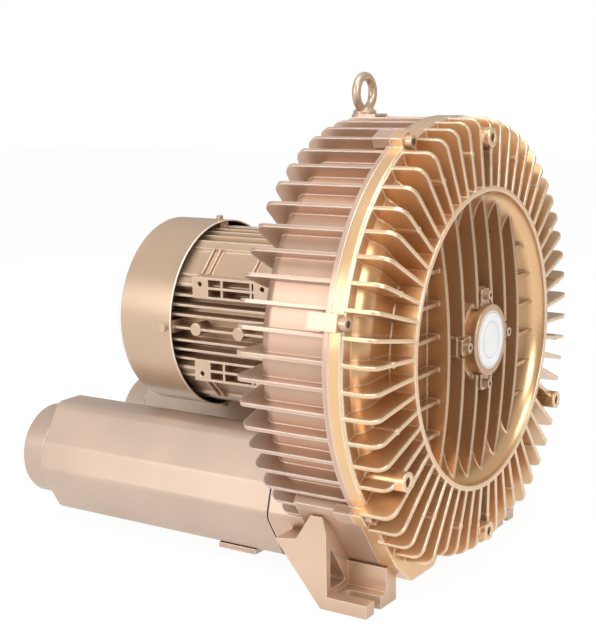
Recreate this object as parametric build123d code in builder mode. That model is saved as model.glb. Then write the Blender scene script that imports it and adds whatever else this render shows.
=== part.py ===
from build123d import *
import math
import os

os.makedirs("parts", exist_ok=True)

# Side channel blower: a finned casing in two halves round an impeller, an electric motor
# flanged to its back, and two silencers below that carry the threaded ports.
# Millimetres.  +X runs along the shaft towards the cover, +Z is up, and the origin is on the
# floor under the middle of the machine.  Every x below is counted from the front edge of the
# cover's smooth band, and every height from the shaft axis.

# ---- overall ---------------------------------------------------------------------------
axis_height = 258.0          # shaft axis above the floor
front_reach = 43.0           # face of the cover's tapped bosses
rear_reach = 506.0           # end of the silencers' port flanges
datum_x = (rear_reach - front_reach) / 2
wall = 6.0                   # casting wall
running_gap = 0.05           # radial, shaft in seal and inner ring in bearing
seat_gap = 0.02              # radial, a spigot or ring in its seat

# ---- casing ----------------------------------------------------------------------------
joint_x = -15.0              # split between the casing and the cover
band_radius = 233.0
band_back_x = -21.0
drum_radius = 218.0
drum_rounding = 14.0
drum_back_x = -105.0
fin_count = 56
fin_radius = 231.5
fin_thickness = 4.0
fin_corner = 12.0
fin_root = 5.5               # how deep a fin is sunk into the walls
fin_batch = 7                # fins fused at a time
casing_fin_back_x = -125.5
casing_fin_inner = 152.0     # where a fin ends on the back wall
bulge_corners = [            # outline of the port bulge on the +Y side, below the shaft
    (150.0, -100.0),
    (184.0, -147.0),
    (138.0, -213.0),
    (106.0, -240.0),
    (52.0, -240.0),
    (22.0, -195.0),
    (60.0, -120.0),
]
bulge_rounding = 16.0
bulge_back_x = -88.0
bulge_front_x = 4.0
bulge_fin_radius = 244.0     # the cover's fins reach further out over the bulges

# ---- side channel and impeller -----------------------------------------------------------
dome_radius = 221.0          # outside of the cover over the channel
dome_x = 10.5
dome_rounding = 24.0
channel_skin = 5.0
channel_land = 8.0           # flat ring inside the blades that seals the channel
casing_channel_inner = 147.0
chamber_radius = 211.0
cover_inner_x = 4.0
axial_gap = 1.0              # impeller to casing, each side
impeller_radius = 209.5
impeller_width = 36.0
blade_front_x = -12.0
blade_root = 151.0
blade_count = 42
blade_thickness = 3.0
stripper_angle = 24.0        # the channel is closed this far between the two ports

# ---- cover recess --------------------------------------------------------------------------
rim_radius = 155.5
rim_x = 38.7
rim_wall = 5.0
recess_floor_x = 12.0
floor_radius = 122.0
rib_pitch = 33.5
rib_thickness = 4.0
rib_middle_x = 36.5
rib_end_x = 25.5
rib_reach = 149.0
hub_radius = 44.0
hub_face_x = 30.7
cap_radius = 37.5
cap_face_x = 42.4
ear_reach = 55.0
ear_width = 20.0
ear_face_x = 36.0
cap_screw_radius = 47.5
badge_radius = 30.7
badge_recess = 1.0

# ---- bosses and cover bolts ------------------------------------------------------------------
bolt_circle = 235.0
bolt_angles = [-128.57, -77.14, -25.71, 25.71, 77.14, 128.57, 180.0]
bolt_size = 8.0
lug_width = 17.0
lug_outer = 243.0
lug_inner = 215.0
lug_back_x = -35.0
lug_front_x = -2.0
mount_circle = 211.0
mount_angles = [-120.0, 0.0, 120.0, 180.0]
mount_boss_radius = 10.0
mount_hole_radius = 5.1      # tapping size of M12
mount_hole_depth = 24.0
pin_radius = 3.2             # ejector pins cast onto every third fin
pin_circle = 198.0
pin_front_x = 36.5

# ---- lifting eye -------------------------------------------------------------------------------
eye_x = -108.5
eye_seat = 234.0
eye_ring = 17.5
eye_section = 4.75
eye_centre = 22.5
eye_collar = 12.5
eye_collar_height = 5.0
eye_thread = 5.0
eye_thread_length = 17.0
eye_boss = 14.0

# ---- motor ---------------------------------------------------------------------------------------
mount_face_x = -120.0
mount_ring = 112.0
shield_radius = 105.0
shield_flange = 14.0
frame_front_x = -170.0
frame_back_x = -318.0
frame_radius = 83.0
stator_radius = 77.5
stator_bore = 49.0
stator_front_x = -194.0
stator_length = 96.0
winding_reach = 21.0
air_gap = 0.5
motor_fin_tip = 103.0
motor_fin_first = 14.4       # lowest fin above the middle rib
motor_fin_pitch = 10.8
motor_fin_thickness = 2.6
motor_fin_rows = 5
panel_distance = 99.0        # smooth diagonal panels between the fin groups
panel_width = 60.0
gusset_height = 5.0
gusset_stations = [-272.0, -263.0, -206.0]
ladder_y = 99.0              # cast frames with a drilled pad at each end, on the sides
ladder_back_x = -274.0
ladder_front_x = -170.0
ladder_depth = 36.0
pad_length = 20.0
pad_hole_radius = 3.0
ladder_bars = [-234.0, -195.0]
boss_stations = [-268.0, -210.0]
boss_radius = 7.0
mount_bolt_circle = 97.0
end_bolt_circle = 82.0
cowl_screw_x = -307.0
end_shield_thickness = 17.0
cowl_radius = 110.0
cowl_wall = 1.5
cowl_front_x = -299.0
cowl_back_x = -371.0
grille_bulge = 14.0
fan_radius = 96.0
fan_blades = 9
fan_width = 22.0
fan_front_x = -340.0
grille_radius = 108.0

# ---- shaft and bearings ------------------------------------------------------------------------------
shaft_radius = 20.0
impeller_seat = 17.5
bearing_bore = 15.0          # 6206: 30 x 62 x 16
bearing_outer = 31.0
bearing_width = 16.0
inner_ring_radius = 20.5
front_bearing_x = 10.0       # back face of the front bearing
seal_outer = 31.0
seal_width = 8.0
fan_seat = 12.0
core_seat = 22.0
hub_overhang = 27.0          # the impeller's hub reaches this far behind its blades
hub_outer = 32.0
key_middle_x = -26.0
key_length = 40.0
key_width = 10.0
key_height = 8.0
key_depth = 5.0
shaft_end_x = -366.0

# ---- silencers ------------------------------------------------------------------------------------------
pipe_y = 91.0
pipe_drop = 172.0
pipe_front_x = -144.0
pipe_back_x = -473.0
pipe_wall = 4.0
pipe_end_wall = 8.0
pipe_corners = [(22.0, 66.0), (49.0, 22.0), (59.0, -11.0), (26.0, -66.0)]
pipe_rounding = 14.0
gasket_thickness = 2.0
port_flange_radius = 54.0
port_bore = 36.1             # tapping size of G2 1/2
tube_wall = 2.0
tube_bore = 38.0
tube_slot_pitch = 60
duct_radius = 44.0
tie_bolt_size = 6.0
tie_points = [(0.0, 58.8), (0.0, -58.8)]
flange_screw_size = 6.0
flange_screw_circle = 45.5

# ---- feet ---------------------------------------------------------------------------------------------------
foot_outer_y = 178.0
foot_inner_y = 128.0
foot_front_x = -8.0
foot_back_x = -62.0
foot_plate = 14.0
foot_slot_width = 13.0
foot_slot_end_x = -46.0
foot_slot_y = 155.0
foot_ledge = -188.0          # height where the foot's side meets the silencer neck
foot_horn = -160.0           # top of the web against the bulge
rear_foot_wall = 6.0
rear_foot_x = -210.0
rear_foot_hole_spacing = 90.0
rear_foot_hole_radius = 6.5
strap_screw_y = 78.0         # screws that hang the rear foot under the silencers
strap_screw_size = 8.0

# ---- terminal box -----------------------------------------------------------------------------------------------
box_middle_x = -240.0
box_length = 100.0
box_height = 90.0
box_lift = 50.0              # middle of the box above the shaft axis
box_inner_y = 85.0
box_outer_y = 130.0
lid_depth = 20.0
box_wall = 4.0
gasket_box = 2.0
gland_bore = 18.0
gland_thread = 12.5
gland_y = 116.0


def section(x):
    """Plane across the shaft, seen from the cover side; local x is +Y and local y is up."""
    return Plane(origin=(datum_x + x, 0, axis_height), x_dir=(0, 1, 0), z_dir=(1, 0, 0))


def radial(angle):
    """Half plane through the shaft, angle from the top towards +Y; local x is +X, y outward."""
    turn = math.radians(angle)
    return Plane(
        origin=(datum_x, 0, axis_height),
        x_dir=(1, 0, 0),
        z_dir=(0, -math.cos(turn), math.sin(turn)),
    )


def side_view(y):
    """Plane along the shaft at a distance y from it; local x is +X and local y is up."""
    return Plane(origin=(datum_x, y, axis_height), x_dir=(1, 0, 0), z_dir=(0, -1, 0))


def top_view(z):
    """Level plane at a height z from the shaft; local x is +X and local y is +Y."""
    return Plane(origin=(datum_x, 0, axis_height + z), x_dir=(1, 0, 0), z_dir=(0, 0, 1))


def pipe_section(x, side):
    """Plane across one silencer, centred on its port."""
    return Plane(
        origin=(datum_x + x, side * pipe_y, axis_height - pipe_drop),
        x_dir=(0, 1, 0),
        z_dir=(1, 0, 0),
    )


def around(radius, angles):
    """Points on a circle round the shaft, for a sketch on a section plane."""
    return [
        (radius * math.sin(math.radians(angle)), radius * math.cos(math.radians(angle)))
        for angle in angles
    ]


def ring(x_low, x_high, r_low, r_high, mode=Mode.ADD):
    """Rectangle in a radial plane, between two stations and two radii."""
    with Locations(((x_low + x_high) / 2, (r_low + r_high) / 2)):
        Rectangle(x_high - x_low, r_high - r_low, mode=mode)


def circles(plane, points, radius):
    """Sketch of equal circles on a plane."""
    with BuildSketch(plane) as sketch:
        with Locations(*points):
            Circle(radius)
    return sketch.sketch


def pipe_outline(x, side, inset=0.0):
    """Rounded octagon of a silencer across the pipe at x, shrunk all round by inset."""
    left = [(-u, v) for u, v in reversed(pipe_corners)]
    with BuildSketch(pipe_section(x, side)) as sketch:
        with BuildLine():
            Polyline(*pipe_corners, *left, close=True)
        make_face()
        fillet(sketch.vertices(), radius=pipe_rounding)
        if inset > 0:
            offset(amount=-inset, mode=Mode.REPLACE)
    return sketch.sketch


def bulge_outline(x, side, inset=0.0, keep_out=0.0):
    """Outline of one port bulge across the shaft at x, shrunk by inset, clear of a circle."""
    with BuildSketch(section(x)) as sketch:
        with BuildLine():
            Polyline(*[(side * y, z) for y, z in bulge_corners], close=True)
        make_face()
        lower = sketch.vertices().sort_by(Axis.Y)[:4]
        fillet(lower, radius=bulge_rounding)
        if inset > 0:
            offset(amount=-inset, mode=Mode.REPLACE)
        if keep_out > 0:
            Circle(keep_out, mode=Mode.SUBTRACT)
    return sketch.sketch


def socket_screws(plane, points, size, grip):
    """Cylinder-head screws with their heads on the plane and their shanks below it."""
    extrude(circles(plane, points, 0.8 * size), amount=size)
    extrude(circles(plane, points, size / 2), amount=-grip)


def holes(plane, points, radius, depth):
    """Round holes drilled down from the plane."""
    extrude(circles(plane, points, radius), amount=-depth, mode=Mode.SUBTRACT)


shaft_axis = Axis((datum_x, 0, axis_height), (1, 0, 0))
fin_step = 360.0 / fin_count
fin_angles = [fin_step * (k + 0.5) for k in range(fin_count)]
rotor_front_x = cover_inner_x - axial_gap
rotor_back_x = rotor_front_x - impeller_width
casing_inner_x = rotor_back_x - axial_gap
rear_bearing_x = frame_back_x - bearing_width
pipe_bottom = pipe_corners[-1][1] - pipe_drop
flange_bolt_points = around(mount_bolt_circle, [45, 135, 225, 315])


def over_bulge(angle):
    """True where a fin stands over one of the port bulges."""
    from_bottom = abs(180.0 - angle)
    return 28.0 < from_bottom < 60.0


# ---- casing -----------------------------------------------------------------------------------------------------------
def casing_fin(angle):
    """L-shaped fin over the drum and down its back wall."""
    with BuildSketch(radial(angle).offset(-fin_thickness / 2)) as fin:
        with BuildLine():
            Polyline(
                (band_back_x + 1, drum_radius - fin_root),
                (band_back_x + 1, fin_radius),
                (casing_fin_back_x, fin_radius),
                (casing_fin_back_x, casing_fin_inner + 14),
                (drum_back_x + fin_root, casing_fin_inner),
                (drum_back_x + fin_root, drum_radius - fin_root),
                close=True,
            )
        make_face()
        fillet(fin.vertices().group_by(Axis.X)[0], radius=fin_corner)
    return fin.sketch.face()


def bolt_lugs(x_low, x_high):
    """Square lugs on the joint, one for each cover bolt."""
    middle = (lug_outer + lug_inner) / 2
    with BuildSketch(section(x_low)) as lugs:
        for angle, centre in zip(bolt_angles, around(middle, bolt_angles)):
            with Locations(Location((centre[0], centre[1], 0), (0, 0, -angle))):
                Rectangle(lug_width, lug_outer - lug_inner)
    extrude(lugs.sketch, amount=x_high - x_low)


with BuildPart() as blower_housing:
    with BuildSketch(radial(0)) as drum:
        ring(band_back_x, joint_x, chamber_radius, band_radius)
        ring(drum_back_x, joint_x, chamber_radius, drum_radius)
        ring(drum_back_x, drum_back_x + wall, seal_outer + seat_gap, drum_radius)
        ring(drum_back_x, casing_inner_x, casing_channel_inner - wall, casing_channel_inner)
        ring(drum_back_x, drum_back_x + seal_width + 4, seal_outer + seat_gap, seal_outer + 9)
        ring(drum_back_x + seal_width + 0.5, drum_back_x + seal_width + 4, 24, seal_outer + 9)
        ring(mount_face_x, drum_back_x + 1, 60, mount_ring)
        drum_corner = drum.vertices().sort_by_distance((drum_back_x, drum_radius))[0]
        fillet(drum_corner, radius=drum_rounding)
    revolve(axis=shaft_axis)
    for first in range(0, fin_count, fin_batch):
        batch = fin_angles[first:first + fin_batch]
        extrude([casing_fin(angle) for angle in batch], amount=fin_thickness)
    for side in (-1, 1):
        extrude(bulge_outline(bulge_back_x, side), amount=joint_x - bulge_back_x)
        extrude(pipe_outline(pipe_front_x, side), amount=bulge_back_x - pipe_front_x + 20)
    bolt_lugs(lug_back_x, joint_x)
    with BuildSketch(top_view(drum_radius - 8)):
        with Locations((eye_x, 0)):
            Circle(eye_boss)
        with Locations((eye_x + 10, 0)):
            Rectangle(20, 2 * eye_boss)
    extrude(amount=eye_seat - drum_radius + 8)
    # hollows: the bulges, the ports, the stretch of channel behind the impeller
    for side in (-1, 1):
        hollow = bulge_outline(bulge_back_x + wall, side, inset=wall + 1)
        extrude(hollow, amount=casing_inner_x - 6 - bulge_back_x - wall, mode=Mode.SUBTRACT)
        with BuildSketch(pipe_section(pipe_front_x, side)):
            Circle(duct_radius)
        extrude(amount=bulge_back_x - pipe_front_x + 2 * wall, mode=Mode.SUBTRACT)
    with BuildSketch(radial(0)):
        ring(casing_inner_x - 2, joint_x, seal_outer, chamber_radius)
    revolve(axis=shaft_axis, mode=Mode.SUBTRACT)
    holes(section(joint_x), around(bolt_circle, bolt_angles), bolt_size / 2, 14)
    holes(top_view(eye_seat), [(eye_x, 0)], eye_thread, eye_thread_length)
    holes(section(drum_back_x), flange_bolt_points, 5, drum_back_x - mount_face_x)
    for side in (-1, 1):
        with BuildSketch(pipe_section(pipe_front_x, side)):
            with Locations(*tie_points):
                Circle(tie_bolt_size / 2)
        extrude(amount=20, mode=Mode.SUBTRACT)
blower_housing.part.label = "blower_housing"
export_step(blower_housing.part, "parts/blower_housing.step")


# ---- cover ------------------------------------------------------------------------------------------------------------
def cover_fin(angle):
    """Fin over the channel's bulge, from the smooth band to the rim of the recess."""
    tip = bulge_fin_radius if over_bulge(angle) else fin_radius
    with BuildSketch(radial(angle).offset(-fin_thickness / 2)) as fin:
        with BuildLine():
            Polyline(
                (-2, tip),
                (rim_x - 4, tip),
                (rim_x - 0.7, rim_radius + rim_wall - 1),
                (dome_x - channel_skin / 2, rim_radius + rim_wall - 1),
                (dome_x - channel_skin / 2, dome_radius - dome_rounding),
                (dome_x - 1.3 * channel_skin, dome_radius - dome_rounding / 2),
                (-2, dome_radius - 7),
                close=True,
            )
        make_face()
        fillet(fin.vertices().sort_by(Axis.Y)[-2:].sort_by(Axis.X)[-1], radius=fin_corner)
    return fin.sketch.face()


def recess_rib(y):
    """Upright rib across the recess, crowned towards the middle."""
    half = math.sqrt(rib_reach**2 - y**2)
    with BuildSketch(side_view(y + rib_thickness / 2)) as rib:
        with BuildLine():
            ends = Polyline(
                (rib_end_x, half),
                (recess_floor_x - 1, half),
                (recess_floor_x - 1, -half),
                (rib_end_x, -half),
            )
            ThreePointArc(ends @ 1, (rib_middle_x, 0), ends @ 0)
        make_face()
    return rib.sketch.face()


rib_places = [rib_pitch * (k - 2.5) for k in range(6)]

with BuildPart() as housing_cover:
    with BuildSketch(radial(0)) as cover_profile:
        ring(joint_x, dome_x, rim_radius, dome_radius)
        dome_corner = cover_profile.vertices().sort_by_distance((dome_x, dome_radius))[0]
        fillet(dome_corner, radius=dome_rounding)
        ring(joint_x, -2, chamber_radius, band_radius)
        ring(joint_x, 0, chamber_radius, band_radius - 2)
        ring(cover_inner_x, recess_floor_x, inner_ring_radius - 1.5, rim_radius + rim_wall)
        ring(recess_floor_x - 1, rim_x, floor_radius, rim_radius + rim_wall)
        with Locations((rim_x, floor_radius - 12)):
            Ellipse(rim_x - recess_floor_x, rim_radius - floor_radius + 12, mode=Mode.SUBTRACT)
        # room for the impeller, the channel in front of its blades and the land inside them
        with BuildSketch(mode=Mode.SUBTRACT) as channel:
            ring(joint_x - 1, dome_x - channel_skin, blade_root, chamber_radius)
            channel_corner = (dome_x - channel_skin, chamber_radius)
            deepest = channel.vertices().sort_by_distance(channel_corner)[0]
            fillet(deepest, radius=dome_rounding - 2 * channel_skin)
        land_inner = blade_root - channel_land
        ring(joint_x - 1, cover_inner_x, 0, land_inner, mode=Mode.SUBTRACT)
        ring(joint_x - 1, blade_front_x + axial_gap, land_inner - 1, blade_root + 1, mode=Mode.SUBTRACT)
    revolve(axis=shaft_axis)
    for side in (-1, 1):
        half = bulge_outline(joint_x, side, keep_out=chamber_radius + 3)
        extrude(half, amount=bulge_front_x - joint_x)
    for first in range(0, fin_count, fin_batch):
        batch = fin_angles[first:first + fin_batch]
        extrude([cover_fin(angle) for angle in batch], amount=fin_thickness)
    for y in rib_places:
        extrude(recess_rib(y), amount=rib_thickness)
    outer_rib = rib_places[-1]
    for side in (-1, 1):
        with BuildSketch(section(recess_floor_x - 1)) as short_ribs:
            for z in rib_places:
                reach = math.sqrt(rib_reach**2 - z**2)
                if reach - outer_rib > 8:
                    with Locations((side * (reach + outer_rib) / 2, z)):
                        Rectangle(reach - outer_rib, rib_thickness)
        extrude(short_ribs.sketch, amount=rib_end_x - recess_floor_x + 1)
    # hub with four ears for the bearing cap
    with BuildSketch(section(cover_inner_x)) as hub:
        Circle(hub_radius)
        Rectangle(2 * ear_reach, ear_width)
        Rectangle(ear_width, 2 * ear_reach)
    extrude(hub.sketch, amount=hub_face_x - cover_inner_x)
    with BuildSketch(section(hub_face_x)) as cap_room:
        Circle(cap_radius + 2)
        Rectangle(2 * ear_reach + 2, ear_width + 2)
        Rectangle(ear_width + 2, 2 * ear_reach + 2)
    extrude(cap_room.sketch, amount=rim_x, mode=Mode.SUBTRACT)
    holes(section(hub_face_x), [(0, 0)], bearing_outer + seat_gap, hub_face_x - front_bearing_x)
    holes(section(front_bearing_x), [(0, 0)], inner_ring_radius - 1.5, 20)
    holes(section(hub_face_x), around(cap_screw_radius, [0, 90, 180, 270]), 3.0, 12)
    # tapped bosses and ejector pins
    boss_points = around(mount_circle, mount_angles)
    extrude(circles(section(-0.5), boss_points, mount_boss_radius), amount=front_reach + 0.5)
    holes(section(front_reach), boss_points, mount_hole_radius, mount_hole_depth)
    pins = around(pin_circle, fin_angles[::3])
    extrude(circles(section(dome_x - 2), pins, pin_radius), amount=pin_front_x - dome_x + 2)
    bolt_lugs(joint_x, lug_front_x)
    holes(section(lug_front_x), around(bolt_circle, bolt_angles), bolt_size / 2 + 0.4, 20)
    holes(section(rim_x), around(bolt_circle, bolt_angles), 0.9 * bolt_size, rim_x - lug_front_x)
housing_cover.part.label = "housing_cover"
export_step(housing_cover.part, "parts/housing_cover.step")


def facing_back(x):
    """Plane across the shaft that faces the motor end; local x is -Y and local y is up."""
    return Plane(origin=(datum_x + x, 0, axis_height), x_dir=(0, -1, 0), z_dir=(-1, 0, 0))


def outward(x, angle, radius):
    """Plane on a cylinder round the shaft, facing outward at one angle."""
    turn = math.radians(angle)
    return Plane(
        origin=(datum_x + x, radius * math.sin(turn), axis_height + radius * math.cos(turn)),
        x_dir=(1, 0, 0),
        z_dir=(0, math.sin(turn), math.cos(turn)),
    )


# ---- what bolts to the casing ---------------------------------------------------------------------------------------------
with BuildPart() as cover_bolts:
    bolt_points = around(bolt_circle, bolt_angles)
    socket_screws(section(lug_front_x), bolt_points, bolt_size, 26)
cover_bolts.part.label = "cover_bolts"
export_step(cover_bolts.part, "parts/cover_bolts.step")

with BuildPart() as bearing_cap:
    with BuildSketch(section(hub_face_x)) as flange:
        Circle(cap_radius)
        Rectangle(2 * ear_reach - 2, ear_width - 2)
        Rectangle(ear_width - 2, 2 * ear_reach - 2)
        fillet(flange.vertices().group_by(Axis.X)[0], radius=4)
        fillet(flange.vertices().group_by(Axis.X)[-1], radius=4)
        fillet(flange.vertices().group_by(Axis.Y)[0], radius=4)
        fillet(flange.vertices().group_by(Axis.Y)[-1], radius=4)
    extrude(flange.sketch, amount=ear_face_x - hub_face_x)
    bearing_face_x = front_bearing_x + bearing_width
    extrude(circles(section(hub_face_x), [(0, 0)], cap_radius), amount=cap_face_x - hub_face_x)
    spigot = circles(section(bearing_face_x), [(0, 0)], bearing_outer - 0.2)
    extrude(spigot, amount=hub_face_x - bearing_face_x)
    holes(section(hub_face_x + 4), [(0, 0)], bearing_outer - 5, 20)
    holes(section(cap_face_x), [(0, 0)], badge_radius, badge_recess)
    holes(section(ear_face_x), around(cap_screw_radius, [0, 90, 180, 270]), 3.2, 12)
bearing_cap.part.label = "bearing_cap"
export_step(bearing_cap.part, "parts/bearing_cap.step")

with BuildPart() as bearing_cap_screws:
    socket_screws(section(ear_face_x), around(cap_screw_radius, [0, 90, 180, 270]), 6, 15)
bearing_cap_screws.part.label = "bearing_cap_screws"
export_step(bearing_cap_screws.part, "parts/bearing_cap_screws.step")

with BuildPart() as badge_plate:
    extrude(circles(section(cap_face_x - badge_recess), [(0, 0)], badge_radius), amount=1.4)
badge_plate.part.label = "badge_plate"
export_step(badge_plate.part, "parts/badge_plate.step")

with BuildPart() as eye_bolt:
    ring_centre = (datum_x + eye_x, 0, axis_height + eye_seat + eye_centre)
    with BuildSketch(Plane(origin=ring_centre, x_dir=(1, 0, 0), z_dir=(0, -1, 0))):
        with Locations((0, eye_ring)):
            Circle(eye_section)
    revolve(axis=Axis(ring_centre, (1, 0, 0)))
    with BuildSketch(Plane(origin=(datum_x + eye_x, 0, axis_height + eye_seat), x_dir=(1, 0, 0), z_dir=(0, -1, 0))):
        with BuildLine():
            Polyline(
                (0, -eye_thread_length),
                (eye_thread, -eye_thread_length),
                (eye_thread, 0),
                (eye_collar, 0),
                (eye_collar, 3),
                (eye_collar - 5, eye_collar_height + 2.5),
                (0, eye_collar_height + 2.5),
                close=True,
            )
        make_face()
    revolve(axis=Axis((datum_x + eye_x, 0, axis_height), (0, 0, 1)))
eye_bolt.part.label = "eye_bolt"
export_step(eye_bolt.part, "parts/eye_bolt.step")

# ---- feet ---------------------------------------------------------------------------------------------------------------------
for side, foot_name in ((-1, "foot_near"), (1, "foot_far")):
    with BuildPart() as foot:
        outer = side * foot_outer_y
        with BuildSketch(side_view(outer)) as web:
            with BuildLine():
                Polyline(
                    (foot_back_x, -axis_height),
                    (foot_back_x - 54, foot_ledge - 4),
                    (foot_back_x - 28, foot_ledge),
                    (foot_back_x - 10, foot_horn),
                    (foot_back_x + 4, foot_horn),
                    (foot_back_x + 8, foot_horn - 16),
                    (foot_back_x + 8, -axis_height),
                    close=True,
                )
            make_face()
        extrude(web.sketch, amount=side * (foot_outer_y - foot_inner_y))
        with BuildSketch(section(foot_back_x + 4)) as plate:
            with Locations((side * (foot_outer_y + foot_inner_y) / 2, foot_plate / 2 - axis_height)):
                Rectangle(foot_outer_y - foot_inner_y, foot_plate)
            with Locations((side * (foot_inner_y - 2), 20 - axis_height)):
                Rectangle(20, 40)
        extrude(plate.sketch, amount=foot_front_x - foot_back_x - 4)
        with BuildSketch(section(foot_back_x + 8)) as pocket:
            with BuildLine():
                Polyline(
                    (side * (foot_outer_y - 8), foot_plate + 6 - axis_height),
                    (side * (foot_inner_y + 12), foot_plate + 6 - axis_height),
                    (side * (foot_outer_y - 8), foot_horn - 30),
                    close=True,
                )
            make_face()
            fillet(pocket.vertices(), radius=3)
        extrude(pocket.sketch, amount=-30, mode=Mode.SUBTRACT)
        extrude(bulge_outline(bulge_back_x, side), amount=bulge_front_x - bulge_back_x, mode=Mode.SUBTRACT)
        extrude(pipe_outline(pipe_front_x, side), amount=bulge_back_x - pipe_front_x, mode=Mode.SUBTRACT)
        with BuildSketch(top_view(-axis_height)) as slot:
            with Locations((foot_slot_end_x + foot_slot_width / 2, side * foot_slot_y)):
                Circle(foot_slot_width / 2)
            with Locations((0, side * foot_slot_y)):
                Rectangle(2 * -(foot_slot_end_x + foot_slot_width / 2), foot_slot_width)
        extrude(slot.sketch, amount=foot_plate + 4, mode=Mode.SUBTRACT)
    foot.part.label = foot_name
    export_step(foot.part, f"parts/{foot_name}.step")

with BuildPart() as rear_foot:
    with BuildSketch(section(rear_foot_x - 25)) as bracket:
        with Locations((0, rear_foot_wall / 2 - axis_height)):
            Rectangle(120, rear_foot_wall)
        for side in (-1, 1):
            with Locations((side * 57, (pipe_bottom - axis_height) / 2)):
                Rectangle(rear_foot_wall, pipe_bottom + axis_height)
            with Locations((side * 86, pipe_bottom - rear_foot_wall / 2)):
                Rectangle(60, rear_foot_wall)
    extrude(bracket.sketch, amount=50)
    half = rear_foot_hole_spacing / 2
    floor_holes = [(rear_foot_x, -half), (rear_foot_x, half)]
    holes(top_view(rear_foot_wall - axis_height), floor_holes, rear_foot_hole_radius, 20)
    strap_points = [(rear_foot_x, -strap_screw_y), (rear_foot_x, strap_screw_y)]
    holes(top_view(pipe_bottom), strap_points, strap_screw_size / 2, rear_foot_wall)
rear_foot.part.label = "rear_foot"
export_step(rear_foot.part, "parts/rear_foot.step")

with BuildPart() as rear_foot_screws:
    below = Plane(
        origin=(datum_x, 0, axis_height + pipe_bottom - rear_foot_wall),
        x_dir=(1, 0, 0),
        z_dir=(0, 0, -1),
    )
    socket_screws(below, strap_points, strap_screw_size, rear_foot_wall + pipe_wall + 4)
rear_foot_screws.part.label = "rear_foot_screws"
export_step(rear_foot_screws.part, "parts/rear_foot_screws.step")

# ---- motor ----------------------------------------------------------------------------------------------------------------------
shield_back_x = mount_face_x - shield_flange
with BuildPart() as drive_end_shield:
    with BuildSketch(radial(0)):
        ring(shield_back_x, mount_face_x, shaft_radius + 6, shield_radius)
        ring(frame_front_x, shield_back_x, frame_radius - 12, frame_radius + 1)
        ring(frame_front_x - 6, frame_front_x, frame_radius - 12, stator_radius - 0.1)
    revolve(axis=shaft_axis)
    with BuildSketch(section(frame_front_x)) as struts:
        for angle in range(0, 360, 30):
            with Locations(Location((0, 0, 0), (0, 0, angle))):
                with Locations((0, (frame_radius + shield_radius - 2) / 2)):
                    Rectangle(4, shield_radius - 2 - frame_radius)
    extrude(struts.sketch, amount=shield_back_x - frame_front_x)
    holes(section(mount_face_x), flange_bolt_points, 5.2, 60)
drive_end_shield.part.label = "drive_end_shield"
export_step(drive_end_shield.part, "parts/drive_end_shield.step")

with BuildPart() as flange_bolts:
    socket_screws(facing_back(shield_back_x), flange_bolt_points, 10, shield_flange + 12)
flange_bolts.part.label = "flange_bolts"
export_step(flange_bolts.part, "parts/flange_bolts.step")

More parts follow.
